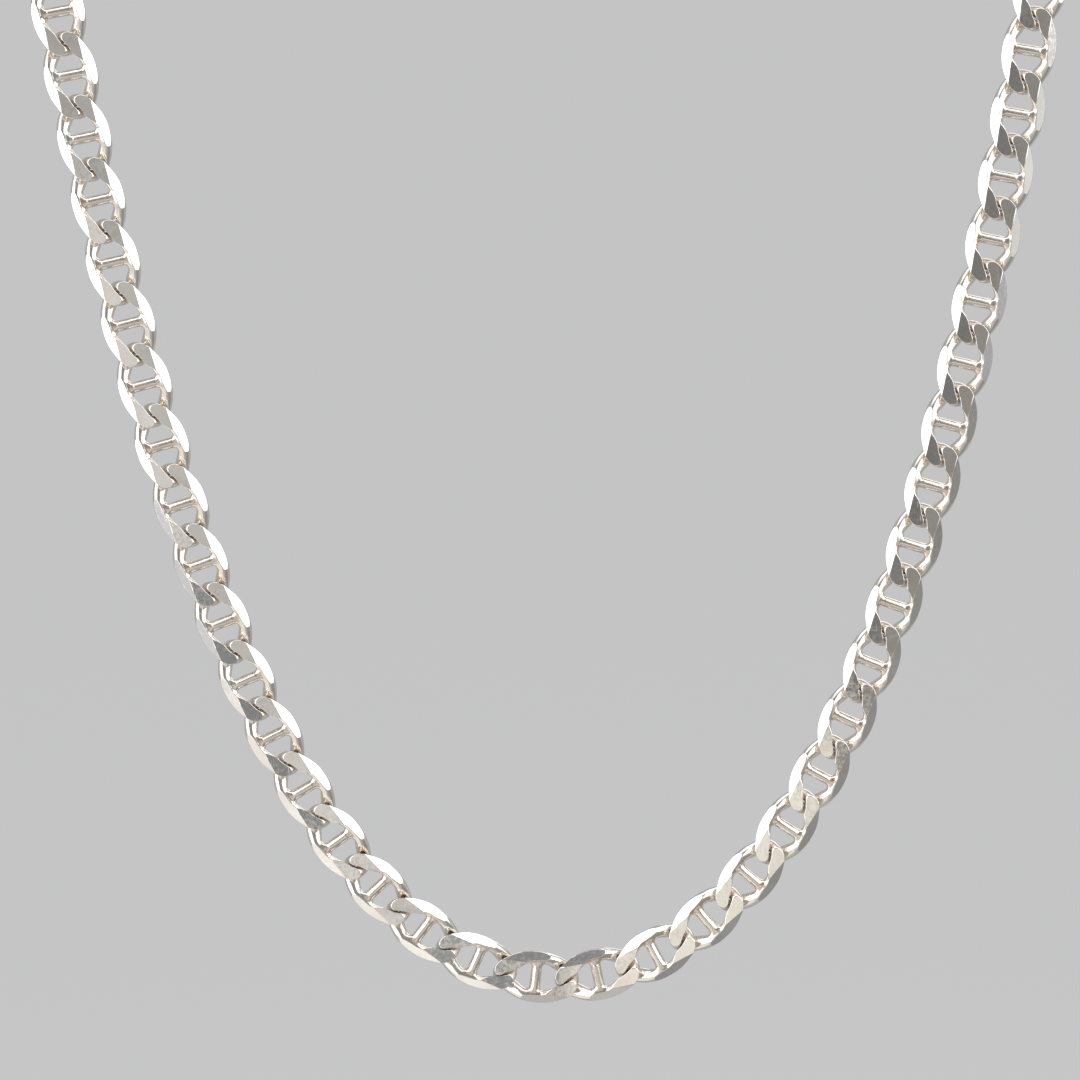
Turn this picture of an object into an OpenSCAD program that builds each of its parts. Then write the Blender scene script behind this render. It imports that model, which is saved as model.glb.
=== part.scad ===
// Mariner link chain, a neck chain of flat-cut oval links with a cross bar in each.
// It hangs as a closed loop: front faces -Y, the lowest bend is at the bottom.
// The origin is at the top of the loop, on the clasp's under side.

/* [Necklace] */
// Length of the closed necklace along its middle; the links are fitted to the nearest even number
necklace_length = 508; // [380:1:760]
// Radius of the lowest bend, where the loop hangs free
bottom_radius = 21.8; // [16:0.2:32]
// How far the whole loop has slid round from a middle bottom, to the right
slide = 0.55; // [-3:0.05:3]

/* [Link] */
// Length of one link over its ends
link_length = 9.86; // [9.26:0.1:12.06]
// Width of one link over its sides
link_width = 6; // [5:0.1:7.4]
// Thickness of the wire that the ring is bent from
wire_d = 1.28; // [1:0.02:1.5]
// Thickness of the cross bar
bar_d = 1.2; // [0.8:0.05:1.6]
// Rise of the wire's middle from the link's mid plane, at its highest
twist_rise = 0.92; // [0.7:0.02:1.1]
// Room between one link's end and the next one's
link_play = 0.22; // [0.2:0.02:0.4]
// Room between two blades, where they lie side by side at a crossing
blade_gap = 0.16; // [0.14:0.02:0.3]
// Angle of the line along which two blades meet, from the chain's length
blade_angle = 33; // [28:1:38]

/* [Diamond cut] */
// Thickness of the chain between its flat-cut faces
cut_thickness = 1.56; // [1.3:0.02:2]
// Width of the flat face along the middle of the chain
flat_width = 3.44; // [2.6:0.02:4.4]
// Slope of the cut faces beside the flat one
bevel_angle = 28; // [16:1:36]

/* [Clasp] */
// Thickness of the clasp's hook
hook_d = 1.4; // [1.1:0.1:1.5]
// Width of the opening inside the hook
hook_opening = 2.8; // [2.4:0.1:3.6]
// Length of the hook's straight sides
hook_length = 5.2; // [4:0.1:8]
// Thickness of the eye's wire
eye_d = 1.3; // [1:0.1:1.6]
// Width of the opening inside the eye
eye_opening = 3; // [2.7:0.1:3.6]
// Width of the clasp's body
body_width = 6.4; // [5.6:0.1:8]
// Thickness of the clasp's body
body_thickness = 2.2; // [1.8:0.1:3]
// Room between the clasp's wires and the end links that they hold
clasp_play = 0.14; // [0.12:0.01:0.2]

/* [Hidden] */
silver_color = "silver";
clasp_color = "gainsboro";

// Sides that a round of the clasp is drawn with
clasp_fn = 48;

// The ring's middle line is an oval, seen from the front
wire_r = wire_d / 2;
oval_a = link_length / 2 - wire_r;
oval_b = link_width / 2 - wire_r;
pitch = 2 * (oval_a - wire_r) - link_play;
// Greatest value of sin(2t) * cos(t), which sets the rise to its named size
rise_peak = 4 / (3 * sqrt(3));

// The clasp runs from the middle of its hook's end to the middle of its eye's end
hook_r = (hook_opening + hook_d) / 2;
eye_r = (eye_opening + eye_d) / 2;
body_r = body_width / 2;
eye_seat = body_r + eye_opening / 2;
clasp_run = hook_length + hook_r + eye_seat + eye_r;
// A clasp's wire rests in an end link's hole, where the two blades' inner sides run together
function seat_in_link(d) = pitch / 2 - (d / 2 + clasp_play + blade_gap / 2) / sin(blade_angle);
clasp_span = clasp_run + seat_in_link(hook_d) + seat_in_link(eye_d);

// Whole links that come nearest to the wanted length, as many on the left side as on the right
side_count = round(((necklace_length - clasp_span) / pitch + 1) / 2);
link_count = 2 * side_count;
loop_length = (link_count - 1) * pitch + clasp_span;
first_link = slide - (link_count - 1) / 2 * pitch;
last_link = first_link + (link_count - 1) * pitch;

// The route: two sides that hang in the curve of a free chain, and a round arc over the top.
// Lengths along it start at the lowest point and grow to the right.
function side_x(s) = bottom_radius * ln(s / bottom_radius + sqrt(pow(s / bottom_radius, 2) + 1));
function side_z(s) = sqrt(pow(bottom_radius, 2) + s * s) - bottom_radius;
function side_slope(s) = atan2(s, bottom_radius);
// The arc carries on from a side of length s, and closes on the other side
function arc_radius(s) = side_x(s) / sin(side_slope(s));
function arc_length(s) = arc_radius(s) * (180 - side_slope(s)) * PI / 180;
// Length of each side, halved in on until side and arc make up half the loop; 40 turns
// settle it far below the width of a hair
function solve_side(low, high, turns = 40) =
    let (mid = (low + high) / 2)
    turns == 0 ? mid :
    mid + arc_length(mid) > loop_length / 2 ? solve_side(low, mid, turns - 1)
    : solve_side(mid, high, turns - 1);
side_length = solve_side(bottom_radius / 2, loop_length / 2);
arc_r = arc_radius(side_length);
arc_z = side_z(side_length) + arc_r * cos(side_slope(side_length));
// The clasp is straight, so its middle lies a little inside the arc that its two ends are on
loop_top = arc_z + arc_r * cos(clasp_run / 2 / arc_r * 180 / PI) - body_thickness / 2;

// Angle round the arc's centre, from level, of a place on the right half
function arc_place(s) = 90 - (loop_length / 2 - s) / arc_r * 180 / PI;
function route_x(s) =
    let (q = abs(s))
    sign(s) * (q <= side_length ? side_x(q) : arc_r * cos(arc_place(q)));
function route_z(s) =
    let (q = abs(s))
    (q <= side_length ? side_z(q) : arc_z + arc_r * sin(arc_place(q))) - loop_top;
function route_slope(s) =
    let (q = abs(s))
    sign(s) * (q <= side_length ? side_slope(q) : arc_place(q) + 90);

// Middle line of the twisted ring, at an angle t round the link
function wire_x(t) = oval_a * cos(t);
function wire_y(t) = oval_b * sin(t);
function wire_z(t) = -twist_rise / rise_peak * sin(2 * t) * abs(cos(t));
// Unit vector from the wire to the inside of the link
function inward(t) = -[oval_b * cos(t), oval_a * sin(t)] / norm([oval_b * cos(t), oval_a * sin(t)]);
// Distance from the wire's middle to the line where two blades meet
function line_reach(t) =
    let (n = [abs(inward(t)[0]), abs(inward(t)[1])])
    (sin(blade_angle) * (abs(wire_x(t)) - pitch / 2) + cos(blade_angle) * abs(wire_y(t)) - blade_gap / 2)
    / (sin(blade_angle) * n[0] + cos(blade_angle) * n[1]);
// Half width of the wire on its inner side, which swells out to that line at the crossings
function inner_half(t) = wire_r + max(0, line_reach(t) - wire_r) * abs(sin(2 * t));
// Half the metal left by the diamond cuts, at a distance y from the chain's middle line
function cut_height(y) = cut_thickness / 2 - max(0, abs(y) - flat_width / 2) * tan(bevel_angle);
// Room from the wire's middle up (or down, with up = -1) to the cut face, u in from that middle
function cut_room(t, u, up) = cut_height(wire_y(t) + u * inward(t)[1]) - up * wire_z(t);

// The wire's section has six corners: inner tip, two on top, outer tip, two at the bottom.
// The cut takes its top and bottom off, and those corners slide along the sides to the cut face.
corner_in = [1, 1, -1, -1, -1, 1];
corner_up = [0, 1, 1, 0, -1, -1];
corners = len(corner_in);
// Height of the top corners above the wire's middle, where nothing is cut, and the least share
// of a side that is left, however deep the cut goes
corner_rise = 0.9 * wire_r;
least_side = 0.1;
function half_at(t, j) = corner_in[j] * (corner_in[j] > 0 ? inner_half(t) : wire_r);
function side_share(t, j) =
    max(least_side, min(1, cut_room(t, half_at(t, j) / 2, corner_up[j]) / corner_rise));
function corner_u(t, j) = half_at(t, j) * (corner_up[j] == 0 ? 1 : 1 - side_share(t, j) / 2);
function corner_v(t, j) =
    let (u = corner_u(t, j), margin = least_side * wire_r)
    corner_up[j] != 0 ? corner_up[j] * min(corner_rise, cut_room(t, u, corner_up[j]))
    : min(0, cut_room(t, u, 1) - margin) + max(0, margin - cut_room(t, u, -1));
function corner(t, j) = [
    wire_x(t) + corner_u(t, j) * inward(t)[0],
    wire_y(t) + corner_u(t, j) * inward(t)[1],
    wire_z(t) + corner_v(t, j)];

// Angles of the wire's sections in a quarter of the link, from its end to the bar's near side
bar_edge = 90 - asin(bar_d / 2 / oval_a);
quarter = [0, 20, 46, bar_edge];
steps = len(quarter) - 1;
half_link = concat(quarter, [for (i = [steps:-1:1]) 180 - quarter[i]]);
ring_angles = concat(half_link, [for (t = half_link) 180 + t]);
rings = len(ring_angles);
// Sections on the bar's two sides, at the top of the link and at its bottom
top_right = steps;
top_left = steps + 1;
low_left = top_right + rings / 2;
low_right = top_left + rings / 2;

function index(i, j) = (i % rings) * corners + j % corners;
// Two triangles that close the gap between four points
function quad(a, b, c, d) = [[a, b, c], [a, c, d]];
// The ring's inner side is open between the bar's two sides, where the bar grows out of it
function under_bar(i, j) = (i == top_right || i == low_left) && (j == 0 || j == corners - 1);
function ring_faces() = [for (i = [0:rings - 1], j = [0:corners - 1])
    if (!under_bar(i, j)) each quad(index(i, j), index(i + 1, j), index(i + 1, j + 1), index(i, j + 1))];
function bar_seat(right, left) = [
    index(right, 1), index(left, 1), index(left, 0),
    index(left, corners - 1), index(right, corners - 1), index(right, 0)];
function bar_faces() =
    let (top = bar_seat(top_right, top_left), low = bar_seat(low_right, low_left), n = len(top))
    [for (k = [0:n - 1]) each quad(top[k], low[k], low[(k + 1) % n], top[(k + 1) % n])];

// One link is one piece of metal: a twisted oval ring with a bar soldered across it, and both
// cut flat on the front and on the back
module link()
    polyhedron(
        [for (t = ring_angles, j = [0:corners - 1]) corner(t, j)],
        concat(ring_faces(), bar_faces()));

// Sets a link at a place on the route, its inner side towards the inside of the loop
module on_route(s)
    translate([route_x(s), 0, route_z(s)]) rotate([90, -route_slope(s), 0]) children();

// A row of links, counted from the left end of the chain
module links(from, count)
    for (k = [from:from + count - 1]) on_route(first_link + k * pitch) link();

module left_links() color(silver_color) links(0, side_count);

module right_links() color(silver_color) links(side_count, side_count);

// Round wire bent through half a circle, open towards -X
module half_turn(r, d)
    rotate([0, 0, -90]) rotate_extrude(angle = 180, $fn = clasp_fn)
        translate([r, 0]) circle(d = d);

// Plain closed clasp, lying in XY: the hook reaches to +X and the eye to -X of its round body
module clasp_body() {
    intersection() {
        sphere(r = body_r, $fn = clasp_fn);
        cube([body_width, body_width, body_thickness], center = true);
    }
    for (side = [-1, 1])
        translate([0, side * hook_r, 0]) rotate([0, 90, 0])
            cylinder(d = hook_d, h = hook_length, $fn = clasp_fn);
    translate([hook_length, 0, 0]) half_turn(hook_r, hook_d);
    translate([-eye_seat, 0, 0]) rotate_extrude($fn = clasp_fn)
        translate([eye_r, 0]) circle(d = eye_d);
}

// The clasp closes the loop on the straight line between the two end links' holes
module clasp() {
    hook_at = last_link + seat_in_link(hook_d);
    eye_at = first_link - seat_in_link(eye_d);
    run = [route_x(hook_at) - route_x(eye_at), route_z(hook_at) - route_z(eye_at)];
    color(clasp_color)
        translate([route_x(hook_at), 0, route_z(hook_at)]) rotate([0, -atan2(run[1], run[0]), 0])
            translate([-hook_length - hook_r, 0, 0]) clasp_body();
}

left_links();
right_links();
clasp();
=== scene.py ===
"""A mariner link neck chain of polished silver, hanging as a closed loop, with its studio."""
import math

import bmesh
import bpy
from mathutils import Matrix, Vector


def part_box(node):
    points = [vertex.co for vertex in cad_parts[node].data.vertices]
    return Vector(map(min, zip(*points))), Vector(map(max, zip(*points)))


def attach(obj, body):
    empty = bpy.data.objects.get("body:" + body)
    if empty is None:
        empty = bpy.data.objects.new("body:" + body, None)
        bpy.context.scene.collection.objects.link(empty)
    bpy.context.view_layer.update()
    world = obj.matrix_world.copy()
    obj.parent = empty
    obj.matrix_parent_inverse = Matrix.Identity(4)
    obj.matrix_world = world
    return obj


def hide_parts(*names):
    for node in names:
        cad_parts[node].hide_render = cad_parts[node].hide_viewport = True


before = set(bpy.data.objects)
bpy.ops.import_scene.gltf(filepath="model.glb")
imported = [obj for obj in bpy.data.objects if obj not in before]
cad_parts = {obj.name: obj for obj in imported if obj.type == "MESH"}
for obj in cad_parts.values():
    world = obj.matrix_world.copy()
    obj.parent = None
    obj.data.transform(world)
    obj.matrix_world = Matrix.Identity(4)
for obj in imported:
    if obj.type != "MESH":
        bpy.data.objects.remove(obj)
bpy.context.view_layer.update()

# Link: the ring
# A ring of drawn silver wire, bent to an oval and twisted like a curb link, so that its near side
# rises at the upper left and the lower right. Rollers press the wire wider on its inner side.
mm = 0.001
wire_radius = 0.65 * mm
wire_smoothness = 8
oval_length = 4.29 * mm
oval_height = 2.36 * mm
ring_steps = 88
twist_rise = 0.92 * mm
twist_scale = -twist_rise * 3 * math.sqrt(3) / 4 * 2  # x * |x| * y peaks at 2 / (3 * sqrt(3))
pitch = 7.08 * mm
blade_angle = math.radians(33)
blade_gap = 0.13 * mm
pressed_belly = 0.17 * mm


def alone(thing):
    """Makes one object the only one selected, and the active one."""
    bpy.ops.object.select_all(action="DESELECT")
    thing.select_set(True)
    bpy.context.view_layer.objects.active = thing


def pick(thing, kind, wanted):
    """Selects, in edit mode, the vertices, edges or faces that are wanted, and counts them."""
    bpy.ops.mesh.select_mode(type=kind)
    bpy.ops.mesh.select_all(action="DESELECT")
    shape = bmesh.from_edit_mesh(thing.data)
    found = [part for part in {"VERT": shape.verts, "EDGE": shape.edges, "FACE": shape.faces}[kind]
             if wanted(part)]
    for part in found:
        part.select = True
    shape.select_flush_mode()
    bmesh.update_edit_mesh(thing.data)
    return len(found)


def apply_modifier(thing, kind, **settings):
    """Gives an object one modifier with its settings, and applies it."""
    alone(thing)
    modifier = thing.modifiers.new(kind.lower(), kind)
    for name, value in settings.items():
        setattr(modifier, name, value)
    bpy.ops.object.modifier_apply(modifier=modifier.name)


def in_order(thing):
    """Rebuilds a mesh with its points and faces in order of place, alike each time it is made."""
    old = thing.data
    order = sorted(range(len(old.vertices)), key=lambda number: old.vertices[number].co[:])
    rank = {number: place for place, number in enumerate(order)}
    faces = []
    for face in old.polygons:
        corners = [rank[number] for number in face.vertices]
        first = corners.index(min(corners))
        faces.append(corners[first:] + corners[:first])
    thing.data = bpy.data.meshes.new(old.name)
    thing.data.from_pydata([old.vertices[number].co[:] for number in order], [], sorted(faces))


bpy.ops.object.select_all(action="DESELECT")
bpy.ops.mesh.primitive_circle_add(vertices=ring_steps, radius=1)
link = bpy.context.object
link.name = "link_pattern"
bpy.ops.object.mode_set(mode="EDIT")
rises = [twist_scale * vertex.co.x * vertex.co.y * abs(vertex.co.x)
         for vertex in link.data.vertices]
bpy.ops.transform.resize(value=(oval_length, oval_height, 1))
for number, rise in enumerate(rises):
    pick(link, "VERT", lambda vertex: vertex.index == number)
    bpy.ops.transform.translate(value=(0, 0, rise))
bpy.ops.object.mode_set(mode="OBJECT")
bpy.ops.object.convert(target="CURVE")
link = bpy.context.object
link.data.twist_mode = "Z_UP"
link.data.bevel_depth = wire_radius
link.data.bevel_resolution = wire_smoothness
bpy.ops.object.convert(target="MESH")
link = bpy.context.object
wire_sides = len(link.data.vertices) // ring_steps
for step in range(ring_steps):
    section = link.data.vertices[step * wire_sides:(step + 1) * wire_sides]
    middle = sum((vertex.co for vertex in section), Vector()) / wire_sides
    along, across = middle.x / oval_length, middle.y / oval_height
    inward = -Vector((oval_height * along, oval_length * across)).normalized()
    to_line = (math.sin(blade_angle) * (abs(middle.x) - pitch / 2)
               + math.cos(blade_angle) * abs(middle.y) - blade_gap / 2) / (
        math.sin(blade_angle) * abs(inward.x) + math.cos(blade_angle) * abs(inward.y))
    widening = (max(0, to_line - wire_radius) * abs(2 * along * across)
                + pressed_belly * across ** 2) / wire_radius
    for vertex in section:
        reach = (vertex.co.xy - middle.xy).dot(inward)
        if reach > 0:
            vertex.co.xy += inward * reach * widening

# Link: the bar
# A straight bar of the same silver across the middle of the ring. Its ends flare where solder has
# run up into the corners, and the joint is smoothed over before anything is cut.
bar_radius = 0.60 * mm
# How far out in mm, then how wide and how deep as a share of the bar
solder_flare = ((1.0, 1, 1), (1.2, 1.04, 1), (1.38, 1.16, 1), (1.52, 1.4, 1), (1.64, 1.75, 0.98),
                (1.74, 2.15, 0.92), (1.84, 2.5, 0.8))
end_tolerance = 0.01 * mm
joint_weld = 0.02 * mm
joint_half_width = 1.5 * mm
joint_near = 1.15 * mm
joint_far = 2.1 * mm

bpy.ops.object.select_all(action="DESELECT")
bpy.ops.mesh.primitive_cylinder_add(vertices=16, radius=bar_radius,
                                    depth=2 * solder_flare[0][0] * mm, rotation=(math.pi / 2, 0, 0))
bar = bpy.context.object
bpy.ops.object.transform_apply(location=True, rotation=True, scale=True)
bpy.ops.object.mode_set(mode="EDIT")
for side in (1, -1):
    for (near, near_wide, near_deep), (far, wide, deep) in zip(solder_flare, solder_flare[1:]):
        pick(bar, "FACE", lambda face: face.normal.y * side > 0.9
             and abs(face.calc_center_median().y * side - near * mm) < end_tolerance)
        bpy.ops.mesh.extrude_region_move(
            TRANSFORM_OT_translate={"value": (0, side * (far - near) * mm, 0)})
        bpy.ops.transform.resize(value=(wide / near_wide, 1, deep / near_deep))
bpy.ops.object.mode_set(mode="OBJECT")
apply_modifier(link, "BOOLEAN", operation="UNION", solver="EXACT", object=bar)
bpy.data.objects.remove(bar)
in_order(link)
bpy.ops.object.mode_set(mode="EDIT")
bpy.ops.mesh.select_all(action="SELECT")
bpy.ops.mesh.remove_doubles(threshold=joint_weld)
pick(link, "VERT", lambda vertex: abs(vertex.co.x) < joint_half_width
     and joint_near < abs(vertex.co.y) < joint_far)
bpy.ops.mesh.vertices_smooth(factor=0.5, repeat=5)

# Link: the diamond cut
# A diamond tool takes the front and the back off flat, with a sloping face along each side. Each
# blade's flat leans a little outwards. Slivers that the cuts leave are welded into their outlines,
# and the rims are rounded by polishing.
cut_height = 0.78 * mm
flat_half = 1.72 * mm
flat_middle = 0.9 * mm
flat_lean = math.radians(1.4)
flat_start = 0.3 * mm
bevel_slope = math.radians(28)
cut_tolerance = 0.001 * mm
cut_weld = 0.002 * mm
same_facing = 0.9999
least_edge = 0.12 * mm
rim_width = 0.09 * mm
rim_angle = math.radians(35)
smooth_angle = math.radians(40)
ridge_width = 0.06 * mm
ridge_least = 0.5 * mm
ridge_weld = 0.005 * mm

cuts = []
for at, slope in ((flat_middle, flat_lean), (flat_half, bevel_slope)):
    for side, face_up in ((1, 1), (-1, 1), (1, -1), (-1, -1)):
        cuts.append((Vector((0, side * at, face_up * cut_height)),
                     Vector((0, side * math.sin(slope), face_up * math.cos(slope)))))
        pick(link, "FACE", lambda face: slope == bevel_slope or all(
            vertex.co.x * -side * face_up > flat_start for vertex in face.verts))
        bpy.ops.mesh.bisect(plane_co=cuts[-1][0], plane_no=cuts[-1][1], use_fill=True,
                            clear_outer=True, threshold=cut_tolerance)
bpy.ops.mesh.select_all(action="SELECT")
bpy.ops.mesh.remove_doubles(threshold=cut_weld)
bpy.ops.mesh.dissolve_degenerate(threshold=cut_tolerance)
bpy.ops.mesh.normals_make_consistent(inside=False)


def cuts_of(face):
    """Numbers of the cuts that a face lies in."""
    return [number for number, (through, facing) in enumerate(cuts)
            if face.normal.dot(facing) > same_facing
            and abs((face.calc_center_median() - through).dot(facing)) < cut_weld]


def cuts_round(vertex):
    """How many cuts meet at a vertex."""
    return len({number for face in vertex.link_faces for number in cuts_of(face)})


bpy.ops.object.mode_set(mode="OBJECT")
shape = bmesh.new()
shape.from_mesh(link.data)
while True:
    slivers = [edge for edge in shape.edges if edge.calc_length() < least_edge
               and max(cuts_round(vertex) for vertex in edge.verts) > 0]
    if not slivers:
        break
    one, other = min(slivers, key=lambda edge: edge.calc_length()).verts
    lead = cuts_round(one) - cuts_round(other)
    meeting = one.co if lead > 0 else other.co if lead < 0 else (one.co + other.co) / 2
    bmesh.ops.pointmerge(shape, verts=[one, other], merge_co=meeting.copy())
for face in shape.faces:
    face.material_index = 1 if cuts_of(face) else 0
shape.to_mesh(link.data)
shape.free()
apply_modifier(link, "BEVEL", width=rim_width, segments=2, limit_method="ANGLE",
               angle_limit=rim_angle)
bpy.ops.object.mode_set(mode="EDIT")
pick(link, "EDGE", lambda edge: edge.calc_length() > ridge_least
     and sum(len(cuts_of(face)) for face in edge.link_faces) == 2)
bpy.ops.mesh.bevel(offset=ridge_width / 2, segments=1)
bpy.ops.mesh.select_all(action="SELECT")
bpy.ops.mesh.remove_doubles(threshold=ridge_weld)
bpy.ops.object.mode_set(mode="OBJECT")
bpy.ops.object.shade_smooth_by_angle(angle=smooth_angle)
bpy.ops.object.mode_set(mode="EDIT")
pick(link, "FACE", cuts_of)
bpy.ops.mesh.faces_shade_flat()
bpy.ops.object.mode_set(mode="OBJECT")
apply_modifier(link, "WEIGHTED_NORMAL", keep_sharp=True)

# Link: its finish
# Polished sterling silver: the wire keeps a soft, cream polish, with tarnish in the places that a
# cloth doesn't reach and a rosy tint at the solder. The cut faces are bright, with fine wear.
silver_cream = (0.90, 0.83, 0.74, 1)
solder_rose = (0.93, 0.70, 0.58, 1)
tarnish_brown = (0.46, 0.34, 0.23, 1)
# Where the links cross and where the bar is soldered: places and reaches, in mm
crossing_x, crossing_length, crossing_width = 3.54, 1.5, 1.0
tarnish_top, tarnish_depth, tarnish_share = 0.78, 0.3, 2.2
solder_x, solder_y, solder_length, solder_width, solder_share = 0.5, 1.5, 1.1, 0.6, 1.5
scratch_stretch = 0.05
scratch_edge = 0.06
scratch_depth = 0.00025 * mm
grain_depth = 0.0002 * mm
dulled_by_tarnish = 0.3

tarnish = link.data.attributes.new("tarnish", "FLOAT", "POINT")
solder = link.data.attributes.new("solder", "FLOAT", "POINT")
for number, vertex in enumerate(link.data.vertices):
    x, y, z = (abs(value) / mm for value in vertex.co)
    crossing = max(0, 1 - math.hypot((x - crossing_x) / crossing_length, y / crossing_width))
    depth = max(0, min(1, (tarnish_top - z) / tarnish_depth))
    tarnish.data[number].value = min(1, tarnish_share * crossing * depth)
    joint = max(0, 1 - math.hypot((x - solder_x) / solder_length, (y - solder_y) / solder_width))
    solder.data[number].value = min(1, solder_share * joint)


def silver(name, colour, cloudy, roughness, polish, wear, waves):
    """A worn silver: cloudy polish, fine scratches each way, a slightly uneven surface, tarnish."""
    material = bpy.data.materials.new(name)
    material.use_nodes = True
    nodes, links = material.node_tree.nodes, material.node_tree.links
    surface = nodes["Principled BSDF"]
    surface.inputs["Metallic"].default_value = 1
    place = nodes.new("ShaderNodeTexCoord").outputs["Object"]

    def noise(scale, detail, rough=0.5, vector=place):
        """Noise from 0 to 1, whose scale is how many of its waves go into a metre."""
        node = nodes.new("ShaderNodeTexNoise")
        node.inputs["Scale"].default_value = scale
        node.inputs["Detail"].default_value = detail
        node.inputs["Roughness"].default_value = rough
        links.new(vector, node.inputs["Vector"])
        return node.outputs["Fac"]

    def spread(value, low, high, to_low, to_high):
        """Stretches a value's range from low to high over another range."""
        node = nodes.new("ShaderNodeMapRange")
        for number, setting in enumerate((low, high, to_low, to_high), 1):
            node.inputs[number].default_value = setting
        links.new(value, node.inputs[0])
        return node.outputs[0]

    def math_of(kind, first, second):
        node = nodes.new("ShaderNodeMath")
        node.operation = kind
        links.new(first, node.inputs[0])
        links.new(second, node.inputs[1])
        return node.outputs[0]

    def mix(share, first, second):
        """Mixes two colours, each given as a colour or as a socket."""
        node = nodes.new("ShaderNodeMix")
        node.data_type = "RGBA"
        links.new(share, node.inputs["Factor"])
        for socket, value in ((node.inputs["A"], first), (node.inputs["B"], second)):
            if isinstance(value, tuple):
                socket.default_value = value
            else:
                links.new(value, socket)
        return node.outputs["Result"]

    def by_place(attribute):
        """What one of the link's own attributes says at each place."""
        node = nodes.new("ShaderNodeAttribute")
        node.attribute_name = attribute
        return node.outputs["Fac"]

    def scratches(turn, least):
        """Fine lines that run one way over the front, each a few tenths of a hair wide."""
        node = nodes.new("ShaderNodeMapping")
        node.inputs["Rotation"].default_value = (0, math.radians(turn), 0)
        node.inputs["Scale"].default_value = (1, 1, scratch_stretch)
        links.new(place, node.inputs["Vector"])
        fine_lines = noise(9000, 1, 0.5, node.outputs[0])
        return spread(fine_lines, least, least + scratch_edge, 0, 1)

    clouds = noise(420, 3, 0.6)
    specks = noise(2200, 2, 0.6)
    lines = math_of("MAXIMUM", scratches(turn=28, least=0.70), scratches(turn=-55, least=0.71))
    lines = math_of("MAXIMUM", lines, scratches(turn=80, least=0.72))
    blotches = spread(noise(1500, 4, 0.65), 0.3, 0.6, 0.5, 1)
    stained = math_of("MULTIPLY", by_place("tarnish"), blotches)
    tinted = math_of("MULTIPLY", by_place("solder"), spread(clouds, 0.4, 0.62, 0.1, 0.5))
    fresh = mix(spread(clouds, 0.35, 0.7, 0, 1), colour, cloudy)
    links.new(mix(stained, mix(tinted, fresh, solder_rose), tarnish_brown),
              surface.inputs["Base Color"])
    worn = math_of("ADD", spread(specks, 0.42, 0.68, roughness, roughness + polish),
                   spread(lines, 0, 1, 0, wear))
    links.new(math_of("ADD", worn, spread(stained, 0, 1, 0, dulled_by_tarnish)),
              surface.inputs["Roughness"])
    normal = None
    for height, distance in ((noise(90, 1), waves), (noise(900, 2), waves * 0.04),
                             (noise(7000, 2), grain_depth), (lines, -scratch_depth)):
        bump = nodes.new("ShaderNodeBump")
        bump.inputs["Strength"].default_value = 1
        bump.inputs["Distance"].default_value = abs(distance)
        bump.invert = distance < 0
        links.new(height, bump.inputs["Height"])
        if normal:
            links.new(normal, bump.inputs["Normal"])
        normal = bump.outputs["Normal"]
    links.new(normal, surface.inputs["Normal"])
    return material


drawn_silver = silver("drawn_silver", (0.94, 0.90, 0.85, 1), silver_cream,
                      roughness=0.15, polish=0.07, wear=0.03, waves=0.08 * mm)
cut_silver = silver("diamond_cut_silver", (0.95, 0.945, 0.93, 1), (0.91, 0.89, 0.86, 1),
                    roughness=0.04, polish=0.08, wear=0.22, waves=0.04 * mm)
link.data.materials.append(drawn_silver)
link.data.materials.append(cut_silver)

# Strings of links
# Seventy links, each through the next, hang in a closed loop: two sides in the curve of a free
# chain and a round arc over the top. The left and the right string meet at the lowest bend.
link_count = 70
slide = 0.55 * mm
bottom_radius = 21.8 * mm
side_length = 153.3698 * mm
loop_length = 506.4634 * mm
arc_radius = 58.3309 * mm
arc_height = 141.3200 * mm
loop_top = 198.1223 * mm


def on_route(length):
    """Place and slope of the chain at a length from its lowest point, growing to the right."""
    far = abs(length)
    if far <= side_length:
        x = bottom_radius * math.asinh(far / bottom_radius)
        z = math.hypot(bottom_radius, far) - bottom_radius
        slope = math.atan2(far, bottom_radius)
    else:
        turn = math.pi / 2 - (loop_length / 2 - far) / arc_radius
        x = arc_radius * math.cos(turn)
        z = arc_height + arc_radius * math.sin(turn)
        slope = turn + math.pi / 2
    side = math.copysign(1, length)
    return Matrix.Translation((side * x, 0, z - loop_top)) @ Matrix.Rotation(
        -side * slope, 4, "Y") @ Matrix.Rotation(math.pi / 2, 4, "X")


def string_of_links(name, numbers):
    """Copies the pattern link to its places and joins the copies into one string."""
    copies = []
    for number in numbers:
        copy = link.copy()
        copy.data = link.data.copy()
        copy.matrix_world = on_route(slide + (number - (link_count - 1) / 2) * pitch)
        bpy.context.collection.objects.link(copy)
        copies.append(copy)
    alone(copies[0])
    for copy in copies:
        copy.select_set(True)
    bpy.ops.object.join()
    bpy.ops.object.transform_apply(location=True, rotation=True, scale=True)
    string = bpy.context.object
    string.name = name
    return string


for name, numbers in (("left_links", range(link_count // 2)),
                      ("right_links", range(link_count // 2, link_count))):
    string = string_of_links("silver_" + name, numbers)
    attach(string, "root")
    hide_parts(name)
bpy.data.objects.remove(link)

# Clasp
# One plain closed clasp of cast and polished silver at the back of the neck. A flat round body
# carries a closed hook for one end link and an eye for the other.
hook_radius = 2.1 * mm
hook_wire = 0.7 * mm
hook_length = 5.2 * mm
eye_radius = 2.15 * mm
eye_wire = 0.65 * mm
eye_seat = 4.7 * mm
body_radius = 3.2 * mm
body_half = 1.1 * mm
clasp_rim = 0.18 * mm
clasp_smooth_angle = math.radians(45)

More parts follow.
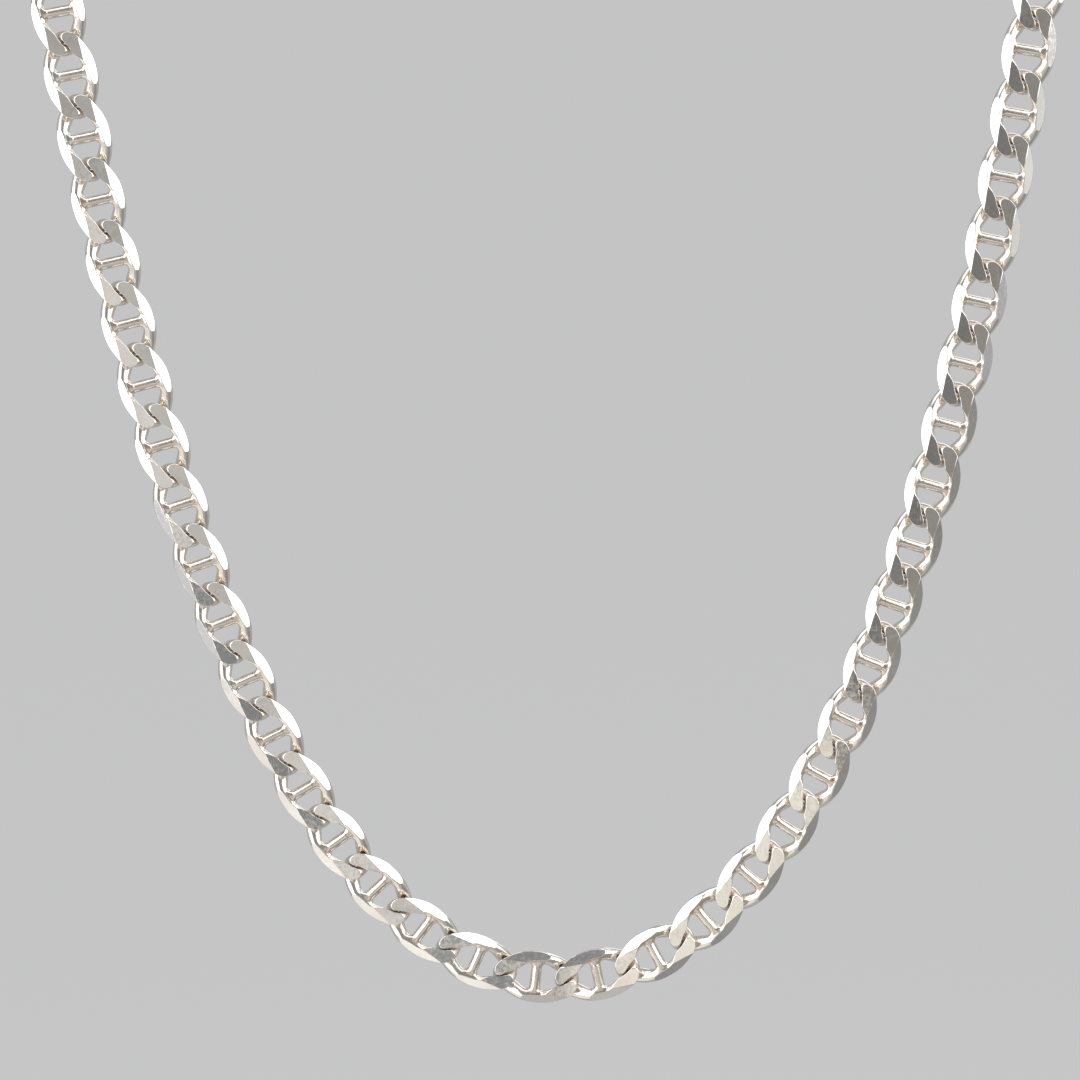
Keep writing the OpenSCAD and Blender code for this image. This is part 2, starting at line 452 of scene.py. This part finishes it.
bpy.ops.object.select_all(action="DESELECT")
bpy.ops.mesh.primitive_uv_sphere_add(segments=48, ring_count=24, radius=body_radius)
clasp = bpy.context.object
bpy.ops.object.mode_set(mode="EDIT")
for face_up in (1, -1):
    bpy.ops.mesh.select_all(action="SELECT")
    bpy.ops.mesh.bisect(plane_co=(0, 0, face_up * body_half), plane_no=(0, 0, face_up),
                        use_fill=True, clear_outer=True, threshold=cut_tolerance)
bpy.ops.object.mode_set(mode="OBJECT")

bpy.ops.object.select_all(action="DESELECT")
bpy.ops.mesh.primitive_torus_add(major_radius=eye_radius, minor_radius=eye_wire, major_segments=48,
                                 minor_segments=16, location=(-eye_seat, 0, 0))
eye = bpy.context.object
bpy.ops.object.transform_apply(location=True, rotation=True, scale=True)

bpy.ops.object.select_all(action="DESELECT")
bpy.ops.mesh.primitive_torus_add(major_radius=hook_radius, minor_radius=hook_wire,
                                 major_segments=48, minor_segments=16)
hook = bpy.context.object
bpy.ops.object.mode_set(mode="EDIT")
bpy.ops.mesh.select_all(action="SELECT")
bpy.ops.mesh.bisect(plane_co=(0, 0, 0), plane_no=(-1, 0, 0), use_fill=True, clear_outer=True,
                    threshold=cut_tolerance)
bpy.ops.mesh.select_all(action="SELECT")
bpy.ops.transform.translate(value=(hook_length, 0, 0))
pick(hook, "FACE", lambda face: face.normal.x < -0.9
     and abs(face.calc_center_median().x - hook_length) < end_tolerance)
bpy.ops.mesh.extrude_region_move(TRANSFORM_OT_translate={"value": (-hook_length, 0, 0)})
bpy.ops.object.mode_set(mode="OBJECT")
for piece in (eye, hook):
    apply_modifier(clasp, "BOOLEAN", operation="UNION", solver="EXACT", object=piece)
    bpy.data.objects.remove(piece)
in_order(clasp)
apply_modifier(clasp, "BEVEL", width=clasp_rim, segments=3, limit_method="ANGLE",
               angle_limit=rim_angle)
bpy.ops.object.mode_set(mode="EDIT")
bpy.ops.mesh.select_all(action="SELECT")
bpy.ops.mesh.remove_doubles(threshold=joint_weld)
bpy.ops.object.mode_set(mode="OBJECT")
bpy.ops.object.shade_smooth_by_angle(angle=clasp_smooth_angle)
apply_modifier(clasp, "WEIGHTED_NORMAL", keep_sharp=True)
clasp.name = "silver_clasp"
clasp.data.materials.append(silver("clasp_silver", (0.93, 0.90, 0.85, 1), silver_cream,
                                   roughness=0.14, polish=0.12, wear=0.1, waves=0.06 * mm))
clasp_low, clasp_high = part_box("clasp")
end_gap = (clasp_low + clasp_high) / 2
clasp_middle = ((hook_length + hook_radius + hook_wire) - (eye_seat + eye_radius + eye_wire)) / 2
clasp.location = end_gap - Vector((clasp_middle, 0, 0))
alone(clasp)
bpy.ops.object.transform_apply(location=True, rotation=True, scale=True)
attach(clasp, "root")
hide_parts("clasp")

# Camera
# It looks a little down on the lower part of the loop, from about 430 mm away.
camera = bpy.data.objects.new("camera", bpy.data.cameras.new("camera"))
bpy.context.collection.objects.link(camera)
camera.location = (0.005242, -0.426030, -0.091464)
camera.rotation_euler = (math.radians(82.507), math.radians(0.888), math.radians(0.819))
camera.data.lens = 127.03
camera.data.sensor_width = 36
camera.data.clip_start = 0.01
camera.data.clip_end = 500
bpy.context.scene.camera = camera

# Studio
# A pale floor far under the hanging chain, evenly lit from above. Tall soft boxes stand on the left
# and right, one hangs overhead, and cards in front and low at the sides give the mirror faces their
# light and dark.
floor_height = -1.0
floor_size = 400
paper_grey = (0.66, 0.66, 0.66, 1)
room_tone = (0.42, 0.42, 0.43, 1)
pale_light = (0.553, 0.553, 0.553, 1)
sun_strength = 1.3
sun_width = math.radians(30)
centre = Vector((0, 0, -0.12))
front_row = -1.1
row_step = 0.02
card_grain = 50
card_unevenness = (0.35, 0.65, 0.8, 1.2)

bpy.ops.object.select_all(action="DESELECT")
bpy.ops.mesh.primitive_plane_add(size=floor_size, location=(0, 0, floor_height))
floor = bpy.context.object
floor.name = "floor"
paper = bpy.data.materials.new("pale_paper")
paper.use_nodes = True
surface = paper.node_tree.nodes["Principled BSDF"]
surface.inputs["Base Color"].default_value = paper_grey
surface.inputs["Roughness"].default_value = 1
surface.inputs["Specular IOR Level"].default_value = 0
floor.data.materials.append(paper)
floor.visible_glossy = False


def toward(turn, rise):
    """Direction from the chain, turned to the right of the front and up from level."""
    turn, rise = math.radians(turn), math.radians(rise)
    return Vector((math.sin(turn) * math.cos(rise), -math.cos(turn) * math.cos(rise),
                   math.sin(rise)))


for name, turn, rise, away, wide, high, bright in (
        ("left_box", -52, 9, 1.0, 0.95, 1.15, 1.5),
        ("right_box", 50, 18, 1.0, 0.95, 0.86, 1.5),
        ("top_box", 0, 70, 1.0, 1.2, 0.65, 1.2),
        ("back_box", 150, 35, 1.2, 1.2, 0.8, 0.9)):
    box = bpy.data.objects.new(name, bpy.data.lights.new(name, "AREA"))
    bpy.context.collection.objects.link(box)
    box.data.shape = "RECTANGLE"
    box.data.size = wide
    box.data.size_y = high
    box.data.energy = bright * math.pi * wide * high
    box.location = centre + toward(turn, rise) * away
    box.rotation_euler = toward(turn, rise).to_track_quat("Z", "Y").to_euler()

overhead = bpy.data.objects.new("overhead", bpy.data.lights.new("overhead", "SUN"))
bpy.context.collection.objects.link(overhead)
overhead.data.energy = sun_strength
overhead.data.angle = sun_width
overhead.visible_glossy = False


def glowing_card(name, place, facing, wide, high, shade):
    """A card that only the silver mirrors, its tone a little uneven as in a real room."""
    bpy.ops.object.select_all(action="DESELECT")
    bpy.ops.mesh.primitive_plane_add(size=1, location=place,
                                     rotation=facing.to_track_quat("Z", "Y").to_euler())
    card = bpy.context.object
    card.name = name
    card.scale = (wide, high, 1)
    glow = bpy.data.materials.new(name)
    glow.use_nodes = True
    surface = glow.node_tree.nodes["Principled BSDF"]
    surface.inputs["Base Color"].default_value = (0, 0, 0, 1)
    surface.inputs["Specular IOR Level"].default_value = 0
    surface.inputs["Emission Color"].default_value = (*shade, 1)
    nodes, links = glow.node_tree.nodes, glow.node_tree.links
    uneven = nodes.new("ShaderNodeTexNoise")
    uneven.inputs["Scale"].default_value = card_grain
    uneven.inputs["Detail"].default_value = 4
    uneven.inputs["Roughness"].default_value = 0.6
    links.new(nodes.new("ShaderNodeNewGeometry").outputs["Position"], uneven.inputs["Vector"])
    tone = nodes.new("ShaderNodeMapRange")
    for number, setting in enumerate(card_unevenness, 1):
        tone.inputs[number].default_value = setting
    links.new(uneven.outputs["Fac"], tone.inputs[0])
    links.new(tone.outputs[0], surface.inputs["Emission Strength"])
    card.data.materials.append(glow)
    card.visible_camera = card.visible_diffuse = card.visible_shadow = False


for number, (name, left, right, low, high, shade) in enumerate((
        ("front_upper", -0.60, 0.36, -0.07, 0.80, (0.24, 0.24, 0.24)),
        ("front_warm", -0.0235, 0.146, -0.75, -0.344, (0.84, 0.79, 0.71)),
        ("front_far_right", 0.15, 0.36, -0.60, -0.07, (0.27, 0.255, 0.235)),
        ("front_right", -0.0235, 0.36, -0.60, -0.07, (0.19, 0.185, 0.18)),
        ("front_lower_left", -0.30, -0.135, -0.463, -0.328, (0.235, 0.24, 0.24)),
        ("front_lower", -0.115, -0.0235, -0.64, -0.42, (0.28, 0.29, 0.29)),
        ("front_left", -0.60, -0.10, -0.165, -0.07, (0.40, 0.385, 0.37)),
        ("front_inner_left", -0.19, -0.077, -0.37, -0.165, (0.50, 0.485, 0.46)),
        ("front_pale", -0.60, 0.60, -0.90, 0.10, (0.68, 0.65, 0.61)))):
    glowing_card(name, ((left + right) / 2, front_row - row_step * number, (low + high) / 2),
                 Vector((0, -1, 0)), right - left, high - low, shade)
for name, turn, rise, away, wide, high, shade in (
        ("low_left", -53, -50, 1.0, 0.85, 0.80, (0.90, 0.86, 0.81)),
        ("low_middle", 0, -72, 0.8, 0.40, 0.45, (0.50, 0.48, 0.46)),
        ("low_right", 52, -44, 1.0, 0.85, 1.05, (0.28, 0.275, 0.265)),
        ("left_sill", -60, -23.9, 1.12, 0.60, 0.20, (0.63, 0.625, 0.63)),
        ("right_sill", 60, -7.2, 1.12, 0.60, 0.20, (0.72, 0.72, 0.70))):
    glowing_card(name, centre + toward(turn, rise) * away, toward(turn, rise), wide, high, shade)

world = bpy.data.worlds.new("studio")
bpy.context.scene.world = world
world.use_nodes = True
nodes, links = world.node_tree.nodes, world.node_tree.links
room = nodes["Background"]
room.inputs["Color"].default_value = room_tone
seen = nodes.new("ShaderNodeBackground")
seen.inputs["Color"].default_value = pale_light
choose = nodes.new("ShaderNodeMixShader")
links.new(nodes.new("ShaderNodeLightPath").outputs["Is Camera Ray"], choose.inputs[0])
links.new(room.outputs[0], choose.inputs[1])
links.new(seen.outputs[0], choose.inputs[2])
links.new(choose.outputs[0], nodes["World Output"].inputs["Surface"])
bpy.context.scene.view_settings.view_transform = "Standard"
